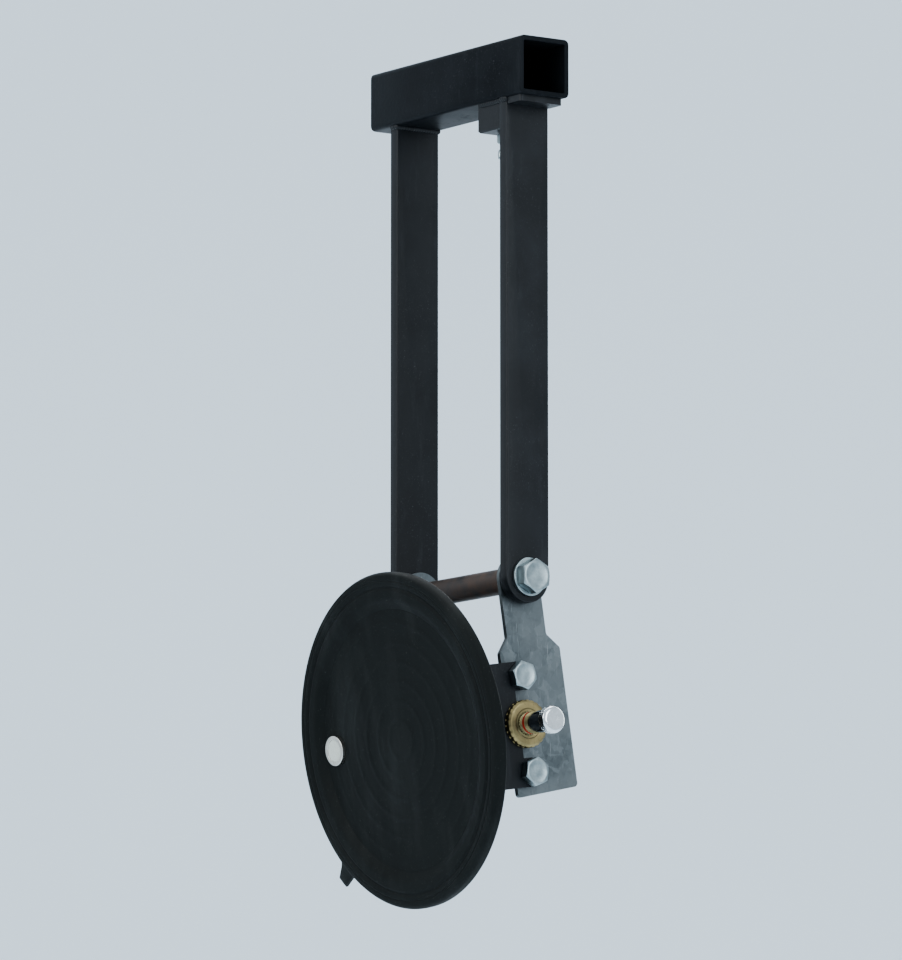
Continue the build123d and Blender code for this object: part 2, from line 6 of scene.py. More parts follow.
import bpy
import numpy as np
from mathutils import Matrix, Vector


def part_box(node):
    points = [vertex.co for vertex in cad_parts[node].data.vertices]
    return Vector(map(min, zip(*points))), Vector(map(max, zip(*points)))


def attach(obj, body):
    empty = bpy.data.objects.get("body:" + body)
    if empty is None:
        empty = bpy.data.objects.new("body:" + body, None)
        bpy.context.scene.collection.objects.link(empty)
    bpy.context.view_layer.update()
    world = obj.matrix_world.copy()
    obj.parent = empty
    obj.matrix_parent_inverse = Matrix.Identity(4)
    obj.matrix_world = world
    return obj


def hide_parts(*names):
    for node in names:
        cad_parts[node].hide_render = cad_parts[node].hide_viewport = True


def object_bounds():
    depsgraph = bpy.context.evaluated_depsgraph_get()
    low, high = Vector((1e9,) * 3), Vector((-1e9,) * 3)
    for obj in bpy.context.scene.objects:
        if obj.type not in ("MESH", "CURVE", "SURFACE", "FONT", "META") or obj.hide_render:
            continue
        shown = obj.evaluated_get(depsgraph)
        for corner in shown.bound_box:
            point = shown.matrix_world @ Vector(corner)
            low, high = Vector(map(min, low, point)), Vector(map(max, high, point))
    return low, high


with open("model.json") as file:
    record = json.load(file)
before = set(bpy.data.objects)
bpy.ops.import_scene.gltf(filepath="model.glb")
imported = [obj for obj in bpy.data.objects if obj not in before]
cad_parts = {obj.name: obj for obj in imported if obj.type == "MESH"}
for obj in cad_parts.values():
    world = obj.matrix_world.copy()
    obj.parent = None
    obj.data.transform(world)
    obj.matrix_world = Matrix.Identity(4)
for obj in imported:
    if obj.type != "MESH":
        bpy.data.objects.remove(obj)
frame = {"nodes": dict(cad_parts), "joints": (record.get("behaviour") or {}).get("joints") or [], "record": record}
cad_box = [list(corner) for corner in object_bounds()]

MM = 0.001
TURN = 2 * math.pi

# ------------------------------------------------------------------ places taken from the frame
X = np.array((1.0, 0.0, 0.0))
Y = np.array((0.0, 1.0, 0.0))
Z = np.array((0.0, 0.0, 1.0))

mounts = {mount["name"]: mount for mount in frame["record"]["mounts"]}
joints = {joint["name"]: joint for joint in frame["joints"]}
facing = np.array(mounts["suction_lip"]["axis"])
facing = facing / np.linalg.norm(facing)
back = -facing
upward = np.cross(back, -X)
upward = upward * np.sign(upward[2])
pivot = np.array(joints["cup_tilt"]["pos_m"])


def corners(node):
    """Lowest and highest corner of a CAD node as arrays."""
    low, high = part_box(node)
    return np.array(low), np.array(high)


def middle(node):
    """Middle of a CAD node's box."""
    low, high = corners(node)
    return (low + high) / 2


PAD_THICKNESS = 15 * MM
BACKING_THICKNESS = 5 * MM
face_centre = middle("backing_plate") - back * (PAD_THICKNESS + BACKING_THICKNESS / 2)
PAD_RADIUS = corners("suction_pad")[1][0]
PUMP_DEPTH = float(np.dot(middle("pump_cylinder") - face_centre, back))


def in_cup(x, depth, rise):
    """Point of the cup: x along the pivot, depth behind the lip plane, rise up the face."""
    return face_centre + X * x + back * depth + upward * rise


# ------------------------------------------------------------------ mesh makers
def link(name, mesh, body, finish, smooth_below=math.radians(32)):
    """Puts a finished mesh in the scene, riding on its body."""
    mesh.validate()
    mesh.shade_smooth()
    mesh.set_sharp_from_angle(angle=smooth_below)
    piece = bpy.data.objects.new(name, mesh)
    bpy.context.scene.collection.objects.link(piece)
    mesh.materials.append(finish)
    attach(piece, body)
    return piece


def loops_to_mesh(name, stacks):
    """Mesh of one or more stacks of closed loops.

    A stack is an array (loops, points, 3). Neighbouring loops are joined by quads, each loop closes
    on itself, and both ends are closed by a fan to the loop's mean point. A stack given as
    (array, True) joins its last loop to its first instead, as a ring does.
    """
    points, quads, fans, base = [], [], [], 0
    for stack in stacks:
        array, ring = stack if isinstance(stack, tuple) else (stack, False)
        rows, columns = array.shape[:2]
        index = base + np.arange(rows * columns).reshape(rows, columns)
        ahead = np.roll(index, -1, axis=1)
        upper = np.roll(index, -1, axis=0) if ring else index[1:]
        upper_ahead = np.roll(upper, -1, axis=1)
        count = rows if ring else rows - 1
        square = np.stack((index[:count], ahead[:count], upper_ahead, upper), axis=-1)
        quads.append(square.reshape(-1, 4))
        points.append(array.reshape(-1, 3))
        base += rows * columns
        if not ring:
            points.append(np.stack((array[0].mean(axis=0), array[-1].mean(axis=0))))
            first = np.stack((ahead[0], index[0], np.full(columns, base)), axis=-1)
            last = np.stack((index[-1], ahead[-1], np.full(columns, base + 1)), axis=-1)
            fans += [first, last]
            base += 2
    faces = [*np.concatenate(quads).tolist()]
    if fans:
        faces += np.concatenate(fans).tolist()
    mesh = bpy.data.meshes.new(name)
    mesh.from_pydata(np.concatenate(points).tolist(), [], faces)
    return mesh


def rounded(points, radius, steps=5, closed=False):
    """Polyline whose corners are quadratic arcs, each starting radius away from its corner or at
    0.45 of the shorter leg, whichever is nearer."""
    corner = np.asarray(points, dtype=float)
    before = np.roll(corner, 1, axis=0) - corner
    after = np.roll(corner, -1, axis=0) - corner
    long_before = np.linalg.norm(before, axis=1, keepdims=True)
    long_after = np.linalg.norm(after, axis=1, keepdims=True)
    wanted = np.broadcast_to(radius, (len(corner),))[:, None]
    reach = np.minimum(wanted, 0.45 * np.minimum(long_before, long_after))
    start = corner + before / long_before * reach
    end = corner + after / long_after * reach
    t = np.linspace(0, 1, steps)[None, :, None]
    arcs = (1 - t) ** 2 * start[:, None] + 2 * t * (1 - t) * corner[:, None] + t**2 * end[:, None]
    if closed:
        return arcs.reshape(-1, 2)
    return np.concatenate((corner[:1], arcs[1:-1].reshape(-1, 2), corner[-1:]))


def turned(profile, origin, axis, across, columns=96, shape=None):
    """Loops of a turned piece: profile rows are (height, radius), each carried round the axis.

    Point = origin + height * axis + r * (cos a * across + sin a * third axis). shape(a, height, r)
    may change the radius, as for a hexagon, a knurl or a thread.
    """
    angle = np.linspace(0, TURN, columns, endpoint=False)[None, :]
    height = profile[:, :1]
    radius = profile[:, 1:2] + 0 * angle
    if shape is not None:
        radius = shape(angle, height + 0 * angle, radius)
    third = np.cross(axis, across)
    ring = np.cos(angle)[..., None] * across + np.sin(angle)[..., None] * third
    return origin + height[..., None] * axis + radius[..., None] * ring


def hexagon(flats):
    """Shape for turned(): cuts the radius back to a hexagon of that size over its flats."""

    def shape(angle, height, radius):
        wedge = np.mod(angle + math.pi / 6, math.pi / 3) - math.pi / 6
        return np.minimum(radius, flats / 2 / np.cos(wedge))

    return shape


def hex_head(origin, axis, across, flats, height, dish=0.25 * MM):
    """Hexagon head: a washer face, six flats and a 30 degree chamfer that cuts their corners."""
    half = flats / 2
    chamfer = 0.16 * half
    rise = np.linspace(0, 1, 6)
    climb = height - chamfer * 0.62 + rise * chamfer * 0.62
    top = np.stack((climb, half * (1.155 - 0.2 * rise)), axis=-1)
    face = np.array(
        [
            (0, half * 0.3),
            (0, half * 0.93),
            (0.35 * MM, half * 0.93),
            (0.38 * MM, half * 1.1),
            (0.7 * MM, half * 1.16),
        ]
    )
    crown = np.array([(height, half * 0.80), (height - dish, half * 0.72), (height - dish, half * 0.3)])
    profile = np.concatenate((face, top, crown))
    return turned(profile, origin, axis, across, 72, hexagon(flats))


def threaded(origin, axis, across, diameter, length, pitch):
    """Threaded shank: the radius falls and rises once in each pitch, along a helix.

    r = R - depth * triangle(height / pitch - angle / turn), with both ends tapered in.
    """
    rows = max(12, int(length / pitch * 10))
    height = np.linspace(0, length, rows)
    profile = np.stack((height, np.full(rows, diameter / 2)), axis=-1)
    depth = 0.61 * pitch
    lead = 0.9 * pitch

    def shape(angle, at, radius):
        phase = np.mod(at / pitch - angle / TURN, 1.0)
        cut = depth * np.clip(1.25 - 2.5 * np.abs(phase - 0.5), 0, 1)
        taper = depth * np.clip(1 - (length - at) / lead, 0, 1)
        return radius - np.maximum(cut, taper)

    return turned(profile, origin, axis, across, 48, shape)


def cylinder(origin, axis, across, radius, length, edge=0.3 * MM, columns=64):
    """Plain shank or disc with a small broken edge at both ends."""
    core = 0.2 * radius
    profile = rounded([(0, core), (0, radius), (length, radius), (length, core)], edge, 4)
    return turned(profile, origin, axis, across, columns)


def washer(origin, axis, across, inner, outer, length, edge=0.3 * MM, columns=72):
    """Ring with rounded edges, closed on itself."""
    outline = rounded([(0, inner), (0, outer), (length, outer), (length, inner)], edge, 4, closed=True)
    return turned(outline, origin, axis, across, columns), True


def nut(origin, axis, across, flats, height, bore):
    """Plain nut: a hexagon chamfered on both faces round a bore."""
    half = flats / 2
    c = 0.1 * half
    rise = np.linspace(0, 1, 5)
    low = np.stack((rise * c, half * (0.95 + 0.205 * rise)), axis=-1)
    high = np.stack((height - c + rise * c, half * (1.155 - 0.205 * rise)), axis=-1)
    flare = 0.5 * MM
    inside = np.array(
        [(height, bore + flare), (height - flare, bore), (flare, bore), (0, bore + flare)]
    )
    return turned(np.concatenate((low, high, inside)), origin, axis, across, 72, hexagon(flats)), True


# ------------------------------------------------------------------ finishes
class Wire:
    """One shader value; Python's operators add the Math nodes."""

    def __init__(self, finish, socket):
        self.finish = finish
        self.socket = socket

    def maths(self, operation, *values):
        """One Math node fed by wires or numbers."""
        return self.finish.node("Math", {"operation": operation}, dict(enumerate(values)))

    def __add__(self, other):
        return self.maths("ADD", self, other)

    def __radd__(self, other):
        return self.maths("ADD", other, self)

    def __sub__(self, other):
        return self.maths("SUBTRACT", self, other)

    def __rsub__(self, other):
        return self.maths("SUBTRACT", other, self)

    def __mul__(self, other):
        return self.maths("MULTIPLY", self, other)

    def __rmul__(self, other):
        return self.maths("MULTIPLY", other, self)

    def __pow__(self, other):
        return self.maths("POWER", self, other)

    def between(self, low, high):
        """0 at low, 1 at high, and clamped outside them."""
        limits = {"Value": self, "From Min": low, "From Max": high}
        return self.finish.node("MapRange", {"clamp": True}, limits)


class Finish:
    """A Principled material whose detail is built from nodes on Object coordinates."""

    def __init__(self, name, **constants):
        self.material = bpy.data.materials.new(name)
        self.material.use_nodes = True
        self.tree = self.material.node_tree
        self.shader = self.tree.nodes["Principled BSDF"]
        for label, value in constants.items():
            socket = label.replace("_", " ").title().replace("Ior", "IOR")
            self.shader.inputs[socket].default_value = value
        self.place = self.node("TexCoord", {}, {}, "Object")

    def node(self, kind, settings, values, output=0):
        """Adds a node, sets its settings, then fills its sockets with values or links."""
        made = self.tree.nodes.new("ShaderNode" + kind)
        for label, value in settings.items():
            if label == "stops":
                ramp = made.color_ramp
                while len(ramp.elements) < len(value):
                    ramp.elements.new(0.5)
                for element, (position, colour) in zip(ramp.elements, value):
                    element.position = position
                    element.color = (*colour, 1)
            else:
                setattr(made, label, value)
        for label, value in values.items():
            if isinstance(value, Wire):
                self.tree.links.new(value.socket, made.inputs[label])
            else:
                made.inputs[label].default_value = value
        return Wire(self, made.outputs[output])

    def at(self, scale=(1, 1, 1), turn=(0, 0, 0), shift=(0, 0, 0)):
        """Object coordinates moved, turned and scaled."""
        values = {"Vector": self.place, "Scale": scale, "Rotation": turn, "Location": shift}
        return self.node("Mapping", {"vector_type": "POINT"}, values)

    def noise(self, scale, detail=4.0, rough=0.5, vector=None, distort=0.0):
        """Noise in object coordinates, 0 to 1."""
        values = {"Scale": scale, "Detail": detail, "Roughness": rough, "Distortion": distort}
        return self.node("TexNoise", {}, {**values, "Vector": vector or self.place})

    def cells(self, scale, output="Color", feature="F1", vector=None):
        """Voronoi cells in object coordinates."""
        values = {"Scale": scale, "Vector": vector or self.place}
        return self.node("TexVoronoi", {"feature": feature}, values, output)

    def ramp(self, value, *stops):
        """Colour read from a ramp with the given (position, colour) stops."""
        return self.node("ValToRGB", {"stops": stops}, {0: value})

    def mix(self, factor, first, second):
        """Blend of two colours: the first at factor 0, the second at 1."""
        values = {0: factor, 6: self.paint(first), 7: self.paint(second)}
        return self.node("Mix", {"data_type": "RGBA"}, values, 2)

    @staticmethod
    def paint(colour):
        """A wire as it is, or a colour with its alpha."""
        return colour if isinstance(colour, Wire) else (*colour, 1)

    def set(self, label, value):
        """Links a varying value, or sets a constant, on the shader."""
        if isinstance(value, Wire):
            self.tree.links.new(value.socket, self.shader.inputs[label])
        else:
            self.shader.inputs[label].default_value = value

    def bump(self, height, distance, strength=1.0):
        """Fine relief from a varying height."""
        values = {"Height": height, "Distance": distance, "Strength": strength}
        self.set("Normal", self.node("Bump", {}, values))


def powder_coat(name, sheen):
    """Satin black powder coat: orange peel, faint dust and rubbed patches."""
    f = Finish(name, metallic=0.0, specular_ior_level=sheen)
    peel = f.noise(520, 2.0, 0.45)
    fine = f.noise(2600, 2.0, 0.6)
    cloud = f.noise(16, 5.0, 0.6).between(0.42, 0.68)
    dust = (f.noise(900, 3.0, 0.7).between(0.60, 0.74) * f.noise(24, 4.0, 0.6).between(0.4, 0.65)) * 0.5
    rub = f.noise(70, 6.0, 0.7, f.at((1, 1, 0.18))).between(0.56, 0.66)
    base = f.mix(cloud, (0.0065, 0.0082, 0.0100), (0.0115, 0.0138, 0.0165))
    rubbed = f.mix(rub * 0.40, base, (0.024, 0.027, 0.031))
    f.set("Base Color", f.mix(dust, rubbed, (0.075, 0.080, 0.085)))
    f.set("Roughness", 0.34 + 0.10 * cloud + 0.14 * rub + 0.25 * dust)
    f.bump(peel * 0.8 + fine * 0.2, 0.00010, 0.65)
    return f.material


def moulded_rubber():
    """Matt black moulded rubber: fine grain, grey bloom, handling marks and lint."""
    f = Finish("moulded_rubber", metallic=0.0, specular_ior_level=0.13)
    grain = f.noise(1500, 3.0, 0.6)
    bloom = f.noise(11, 6.0, 0.62, distort=0.6).between(0.40, 0.70)
    wipe = f.noise(34, 5.0, 0.6, f.at((1.0, 1.0, 0.16), (0, 0.5, 0))).between(0.50, 0.70)
    lint = f.noise(1250, 2.0, 0.8).between(0.685, 0.72)
    base = f.mix(bloom, (0.0032, 0.0048, 0.0049), (0.0070, 0.0092, 0.0092))
    wiped = f.mix(wipe * 0.30, base, (0.020, 0.024, 0.024))
    f.set("Base Color", f.mix(lint * 0.45, wiped, (0.16, 0.17, 0.16)))
    f.set("Roughness", 0.56 + 0.16 * bloom - 0.10 * wipe)
    f.bump(grain + 0.6 * f.noise(240, 2.0, 0.5), 0.00007, 0.6)
    return f.material


def seal_rubber():
    """Black seal rubber with a faint bloom."""
    f = Finish("seal_rubber", metallic=0.0, specular_ior_level=0.45)
    bloom = f.noise(120, 4.0, 0.6)
    f.set("Base Color", f.mix(bloom, (0.010, 0.010, 0.011), (0.028, 0.028, 0.029)))
    f.set("Roughness", 0.42 + 0.2 * bloom)
    f.bump(f.noise(2400, 2.0), 0.00004, 0.4)
    return f.material


def hot_dip():
    """Galvanised sheet: interlocking spangles, dull grey bloom and light scratches."""
    f = Finish("hot_dip", metallic=0.86, specular_ior_level=0.5)
    warped = f.node("VectorMath", {"operation": "MULTIPLY_ADD"}, {
        0: f.node("TexNoise", {}, {"Vector": f.place, "Scale": 90.0, "Detail": 3.0}, "Color"),
        1: (0.006, 0.006, 0.006),
        2: f.place,
    })
    spangle = f.node("SeparateColor", {}, {0: f.cells(120, vector=warped)}, 0)
    inner = f.node("SeparateColor", {}, {0: f.cells(330, vector=warped)}, 1)
    bloom = f.noise(30, 6.0, 0.65).between(0.42, 0.66)
    scratch = f.noise(60, 3.0, 0.7, f.at((22, 22, 1.0), (0.5, 0, 0))).between(0.63, 0.68)
    tone = (0.65 * spangle + 0.35 * inner)
    steel = f.ramp(
        tone,
        (0.0, (0.070, 0.084, 0.090)),
        (0.55, (0.105, 0.123, 0.131)),
        (1.0, (0.160, 0.181, 0.190)),
    )
    bloomed = f.mix(bloom * 0.60, steel, (0.125, 0.141, 0.147))
    f.set("Base Color", f.mix(scratch * 0.35, bloomed, (0.36, 0.38, 0.39)))
    f.set("Metallic", 0.90 - 0.42 * bloom)
    f.set("Roughness", 0.36 + 0.16 * tone + 0.16 * bloom - 0.08 * scratch)
    f.bump(tone * 0.6 + f.noise(700, 3.0) * 0.4 - 0.2 * scratch, 0.00008, 0.55)
    return f.material


def zinc_plate(name="zinc_plate", light=(0.33, 0.390, 0.405), dark=(0.21, 0.255, 0.270)):
    """Bright zinc plate on cold-forged steel: bluish, with pickling clouds and tool marks."""
    f = Finish(name, metallic=1.0)
    cloud = f.noise(150, 5.0, 0.6)
    marks = f.noise(420, 3.0, 0.7, f.at((1.0, 1.0, 7.0))).between(0.45, 0.75)
    pits = f.noise(1100, 2.0, 0.7).between(0.62, 0.72)
    tint = f.mix(cloud.between(0.36, 0.64), dark, light)
    f.set("Base Color", f.mix(pits * 0.5, tint, (0.30, 0.31, 0.32)))
    f.set("Roughness", 0.24 + 0.14 * cloud + 0.12 * marks + 0.2 * pits)
    f.bump(marks * 0.6 - 0.7 * pits + 0.3 * cloud, 0.00006, 0.5)
    return f.material


def turned_metal(name, bright, dull, stain, axis_scale, rough=0.22, metallic=1.0):
    """Turned metal: fine tool rings across X, tarnish in clouds and dark specks."""
    f = Finish(name, metallic=metallic)
    rings = f.noise(axis_scale, 3.0, 0.75, f.at((1.0, 0.004, 0.004)))
    cloud = f.noise(85, 6.0, 0.62).between(0.38, 0.68)
    speck = f.noise(800, 3.0, 0.75).between(0.64, 0.74)
    base = f.mix(cloud, bright, dull)
    f.set("Base Color", f.mix(speck * 0.6, base, stain))
    f.set("Roughness", rough + 0.12 * cloud + 0.10 * rings + 0.2 * speck)
    f.bump(rings, 0.00005, 0.45)
    return f.material


def polished_chrome():
    """Chrome plate with finger marks and a few hairlines."""
    f = Finish("polished_chrome", metallic=1.0)
    smear = f.noise(95, 6.0, 0.68, distort=0.7).between(0.45, 0.72)
    hair = f.noise(90, 2.0, 0.6, f.at((1.0, 14, 14), (0.3, 0, 0.2))).between(0.66, 0.69)
    f.set("Base Color", f.mix(smear, (0.66, 0.70, 0.72), (0.53, 0.565, 0.585)))
    f.set("Roughness", 0.055 + 0.17 * smear + 0.12 * hair)
    f.bump(hair + 0.3 * f.noise(600, 2.0), 0.00002, 0.35)
    return f.material


def oxide_tube():
    """Dark spacer tube: mill oxide with brown bloom."""
    f = Finish("oxide_tube", metallic=0.35, specular_ior_level=0.5)
    bloom = f.noise(60, 6.0, 0.65).between(0.40, 0.66)
    drawn = f.noise(260, 3.0, 0.7, f.at((0.06, 1, 1)))
    f.set("Base Color", f.mix(bloom, (0.022, 0.021, 0.022), (0.072, 0.050, 0.040)))
    f.set("Roughness", 0.42 + 0.2 * bloom + 0.08 * drawn)
    f.bump(drawn * 0.5 + bloom * 0.5, 0.00008, 0.5)
    return f.material


def pressed_felt():
    """White pressed felt: crossing fibres, a little grey from the dust that it has stopped."""
    f = Finish("pressed_felt", metallic=0.0, specular_ior_level=0.12)
    f.shader.inputs["Sheen Weight"].default_value = 0.35
    f.shader.inputs["Sheen Roughness"].default_value = 0.6
    fibre = f.noise(900, 4.0, 0.75, f.at((3.0, 1.0, 0.7), (0.4, 0.2, 0.9)))
    cross = f.noise(1000, 4.0, 0.75, f.at((0.7, 1.0, 3.0), (0.9, 0.1, 0.3)))
    dirt = f.noise(260, 5.0, 0.65).between(0.46, 0.72)
    clean = f.mix(fibre, (0.33, 0.36, 0.33), (0.52, 0.56, 0.52))
    f.set("Base Color", f.mix(dirt * 0.35, clean, (0.42, 0.43, 0.39)))
    f.set("Roughness", 0.90)
    f.bump(fibre + cross, 0.00025, 0.8)
    return f.material


def plastic(name, pale, deep, rough):
    """Moulded plastic with a slightly mottled surface."""
    f = Finish(name, metallic=0.0, specular_ior_level=0.45)
    mottle = f.noise(180, 4.0, 0.6)
    f.set("Base Color", f.mix(mottle, deep, pale))
    f.set("Roughness", rough + 0.14 * mottle)
    f.bump(f.noise(1600, 2.0), 0.00003, 0.4)
    return f.material


def spring_wire():
    """Drawn spring wire under a film of oil."""
    f = Finish("spring_wire", metallic=1.0)
    oil = f.noise(300, 4.0, 0.6)
    f.set("Base Color", f.mix(oil, (0.22, 0.22, 0.23), (0.42, 0.42, 0.43)))
    f.set("Roughness", 0.28 + 0.15 * oil)
    f.bump(f.noise(1900, 2.0), 0.00003, 0.4)
    return f.material


finishes = {
    "black_paint": powder_coat("powder_coat", 0.24),
    # The sleeve's paint is the legs' powder coat with its sheen cut from 0.24 to 0.05, so it renders darker:
    # painted shade for the shade the sleeve hangs in.
    "sleeve_paint": powder_coat("matt_powder_coat", 0.05),
    "pad_rubber": moulded_rubber(),
    "seal_rubber": seal_rubber(),
    "galvanised": hot_dip(),
    "zinc": zinc_plate(),
    "nickel": turned_metal(
        "nickel_plate", (0.60, 0.60, 0.57), (0.46, 0.46, 0.43), (0.20, 0.19, 0.17), 900, 0.20
    ),
    "brass": turned_metal(
        "turned_brass", (0.300, 0.250, 0.130), (0.165, 0.138, 0.075), (0.070, 0.057, 0.035), 1400, 0.27
    ),
    "chrome": polished_chrome(),
    "aluminium": turned_metal(
        "turned_aluminium", (0.62, 0.62, 0.63), (0.50, 0.50, 0.51), (0.25, 0.25, 0.25), 1200
    ),
    "black_aluminium": powder_coat("black_anodising", 0.24),
    "dark_steel": oxide_tube(),
    "nylon": plastic("nylon", (0.66, 0.65, 0.60), (0.50, 0.49, 0.44), 0.38),
    "red_band": plastic("red_band", (0.62, 0.035, 0.025), (0.48, 0.02, 0.018), 0.30),
    "felt": pressed_felt(),
    "spring_steel": spring_wire(),
}

for entry in frame["record"]["subparts"]:
    slots = frame["nodes"][entry["node"]].data.materials
    slots.clear()
    slots.append(finishes[entry["material_slot"]])

# ------------------------------------------------------------------ rubber pad
LIP_EDGE = 9 * MM
LIP_WIDTH = 17 * MM
RECESS = 4 * MM
INLET_OFFSET = 71 * MM
TAB_ANGLE = math.radians(225)
TAB_REACH = 11.6 * MM
TAB_ROOT = 6.1 * MM
TAB_TIP = 4.6 * MM


def pad_profile():
    """(depth, radius) of the rubber, from the middle of the suction face round the rim to the back.

    The recess has shallow ribs, r -> depth - 0.22 mm * |cos|^10, and the lip has three fine
    sealing ribs.
    """
    inner = PAD_RADIUS - LIP_WIDTH - 6 * MM
    r = np.linspace(2 * MM, inner, 88)
    ribs = 0.22 * MM * np.abs(np.cos(math.pi * r / (12.2 * MM))) ** 10 * (r > 9 * MM)
    floor = np.stack((RECESS - ribs, r), axis=-1)
    lip_points = [
        (RECESS, inner),
        (0.15 * MM, PAD_RADIUS - LIP_WIDTH),
        (0, PAD_RADIUS - 11.2 * MM),
        (1.2 * MM, PAD_RADIUS - 9.4 * MM),
        (0.1 * MM, PAD_RADIUS - 7.6 * MM),
        (0.0, PAD_RADIUS - 5.9 * MM),
        (0.5 * MM, PAD_RADIUS - 5.2 * MM),
        (0.05 * MM, PAD_RADIUS - 4.5 * MM),
        (0.3 * MM, PAD_RADIUS - 1.5 * MM),
        (2.6 * MM, PAD_RADIUS),
        (5.0 * MM, PAD_RADIUS),
        (LIP_EDGE, PAD_RADIUS - 0.4 * MM),
        (PAD_THICKNESS - 2.2 * MM, PAD_RADIUS - 11 * MM),
        (PAD_THICKNESS, PAD_RADIUS - 15 * MM),
        (PAD_THICKNESS, PAD_RADIUS - 40 * MM),
        (PAD_THICKNESS, 4 * MM),
    ]
    lip_radii = np.array([1, 2, 0.5, 0.6, 0.5, 0.3, 0.4, 0.4, 1.2, 1.2, 1, 3, 5, 4, 1, 1]) * MM
    lip = rounded(lip_points, lip_radii, 6)
    return np.concatenate((floor, lip[1:]))


def tab_shape(angle, depth, radius):
    """Adds the release tab: reach * (trapezoid across the angle) * (band across the depth)."""
    off = np.abs(np.mod(angle - TAB_ANGLE + math.pi, TURN) - math.pi) * PAD_RADIUS
    across = np.clip((TAB_ROOT - off) / (TAB_ROOT - TAB_TIP), 0, 1)
    across = across * across * (3 - 2 * across)
    front = np.clip((depth - 1.6 * MM) / (1.0 * MM), 0, 1)
    band = front * np.clip((6.6 * MM - depth) / (1.3 * MM), 0, 1)
    near_rim = np.clip((radius - PAD_RADIUS + 1.0 * MM) / (1.0 * MM), 0, 1)
    return radius + TAB_REACH * across * np.sqrt(band) * near_rim


def make_pad():
    """The pad is one turned surface about the cup's axis, 360 steps round, with the rows across the rim respaced
    evenly in depth.
    """
    profile = pad_profile()
    rim = (profile[:, 1] > PAD_RADIUS - 2 * MM) & (profile[:, 0] > 1.2 * MM)
    middle_rows = np.flatnonzero(rim)
    first, last = middle_rows[0], middle_rows[-1]
    dense = np.linspace(profile[first, 0], profile[last, 0], 26)
    radius = np.interp(dense, profile[first : last + 1, 0], profile[first : last + 1, 1])
    profile = np.concatenate((profile[:first], np.stack((dense, radius), axis=-1), profile[last + 1 :]))
    loops = turned(profile, face_centre, back, X, 360, lambda a, h, r: tab_shape(-a, h, r))
    return loops


pad = link(
    "rubber_pad",
    loops_to_mesh("rubber_pad", [make_pad()]),
    "cup",
    finishes["pad_rubber"],
)
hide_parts("suction_pad")

# ------------------------------------------------------------------ inlet in the suction face
inlet = in_cup(-INLET_OFFSET, 0, 0)
ferrule_profile = rounded(
    [
        (1.5 * MM, 7.0 * MM),
        (1.5 * MM, 9.5 * MM),
        (4.4 * MM, 9.5 * MM),
        (4.4 * MM, 5.0 * MM),
        (20.0 * MM, 5.0 * MM),
        (20.0 * MM, 2.5 * MM),
        (3.0 * MM, 2.5 * MM),
        (3.0 * MM, 7.0 * MM),
    ],
    0.5 * MM,
    5,
    closed=True,
)
ferrule = link(
    "inlet_ring",
    loops_to_mesh("inlet_ring", [(turned(ferrule_profile, inlet, back, X, 96), True)]),
    "cup",
    finishes["nickel"],
)
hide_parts("inlet_ferrule")


def felt_loops():
    """Felt disc with a domed, slightly uneven face: height falls as r^4 and ripples by 0.1 mm."""
    r = np.concatenate((np.linspace(0.4, 6.95, 26), [6.95, 3.0])) * MM
    depth = 1.45 * MM + 0.55 * MM * (r / (7 * MM)) ** 4
    depth[-2:] = 3.0 * MM
    loops = turned(np.stack((depth, r), axis=-1), inlet, back, X, 72)
    flat = np.stack((loops @ X, loops @ upward), axis=-1) / MM
    ripple = 0.06 * np.sin(2.9 * flat[..., 0] + 1.3 * np.sin(1.7 * flat[..., 1]))
    ripple += 0.05 * np.sin(3.7 * flat[..., 1] + 1.1 * np.sin(2.3 * flat[..., 0]))
    ripple[-2:] = 0
    return loops + back * (ripple * MM)[..., None]


felt = link("felt_disc", loops_to_mesh("felt_disc", [felt_loops()]), "cup", finishes["felt"])
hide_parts("felt_filter")


# ------------------------------------------------------------------ hanger
LEG_EDGE = 1.1 * MM


def stretch_of(node):
    """(lowest corner, highest corner, middle) of a CAD node."""
    low, high = corners(node)
    return low, high, (low + high) / 2


def leg_outline(inset, width, top):
    """Leg seen along X: a half circle round the pivot and straight sides up to the sleeve."""
    r = width / 2 - inset
    low = np.linspace(math.pi, TURN, 49)
    arc = np.stack((r * np.cos(low), r * np.sin(low)), axis=-1)
    rise = np.linspace(0, top, 25)[1:, None]
    right = np.concatenate((np.full_like(rise, r), rise), axis=1)
    over = np.linspace(r, -r, 15)[1:-1, None]
    cap = np.concatenate((over, np.full_like(over, top)), axis=1)
    left = np.concatenate((np.full_like(rise, -r), rise[::-1]), axis=1)
    return np.concatenate((arc, right, cap, left))


def leg_loops(node):
    """Flat bar with rolled edges and the pivot hole: loops run hole, face, edge, side, edge, face."""
    low, high, centre = stretch_of(node)
    width, thick = high[1] - low[1], high[0] - low[0]
    top = high[2] - pivot[2]
    hole = 6.3 * MM
    turn = np.linspace(0, math.pi / 2, 6)
    insets = LEG_EDGE * (1 - np.sin(turn))
    edge_x = thick / 2 - LEG_EDGE * (1 - np.cos(turn))
    outer = [(x, inset) for x, inset in zip(edge_x, insets)]
    outer += [(-x, inset) for x, inset in zip(edge_x[::-1], insets[::-1])]
    rim = leg_outline(LEG_EDGE, width, top)
    ring = rim / np.linalg.norm(rim, axis=1, keepdims=True) * hole
    stack = [(thick / 2, ring)] + [(x, leg_outline(inset, width, top)) for x, inset in outer]
    stack += [(-thick / 2, ring)]
    loops = [
        np.stack((np.full(len(line), centre[0] + x), line[:, 0], pivot[2] + line[:, 1]), axis=-1)
        for x, line in stack
    ]
    return np.array(loops)


for node in ("leg_left", "leg_right"):
    bar = link(
        f"{node}_bar",
        loops_to_mesh(f"{node}_bar", [(leg_loops(node), True)]),
        "hanger",
        finishes["black_paint"],
    )
    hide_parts(node)

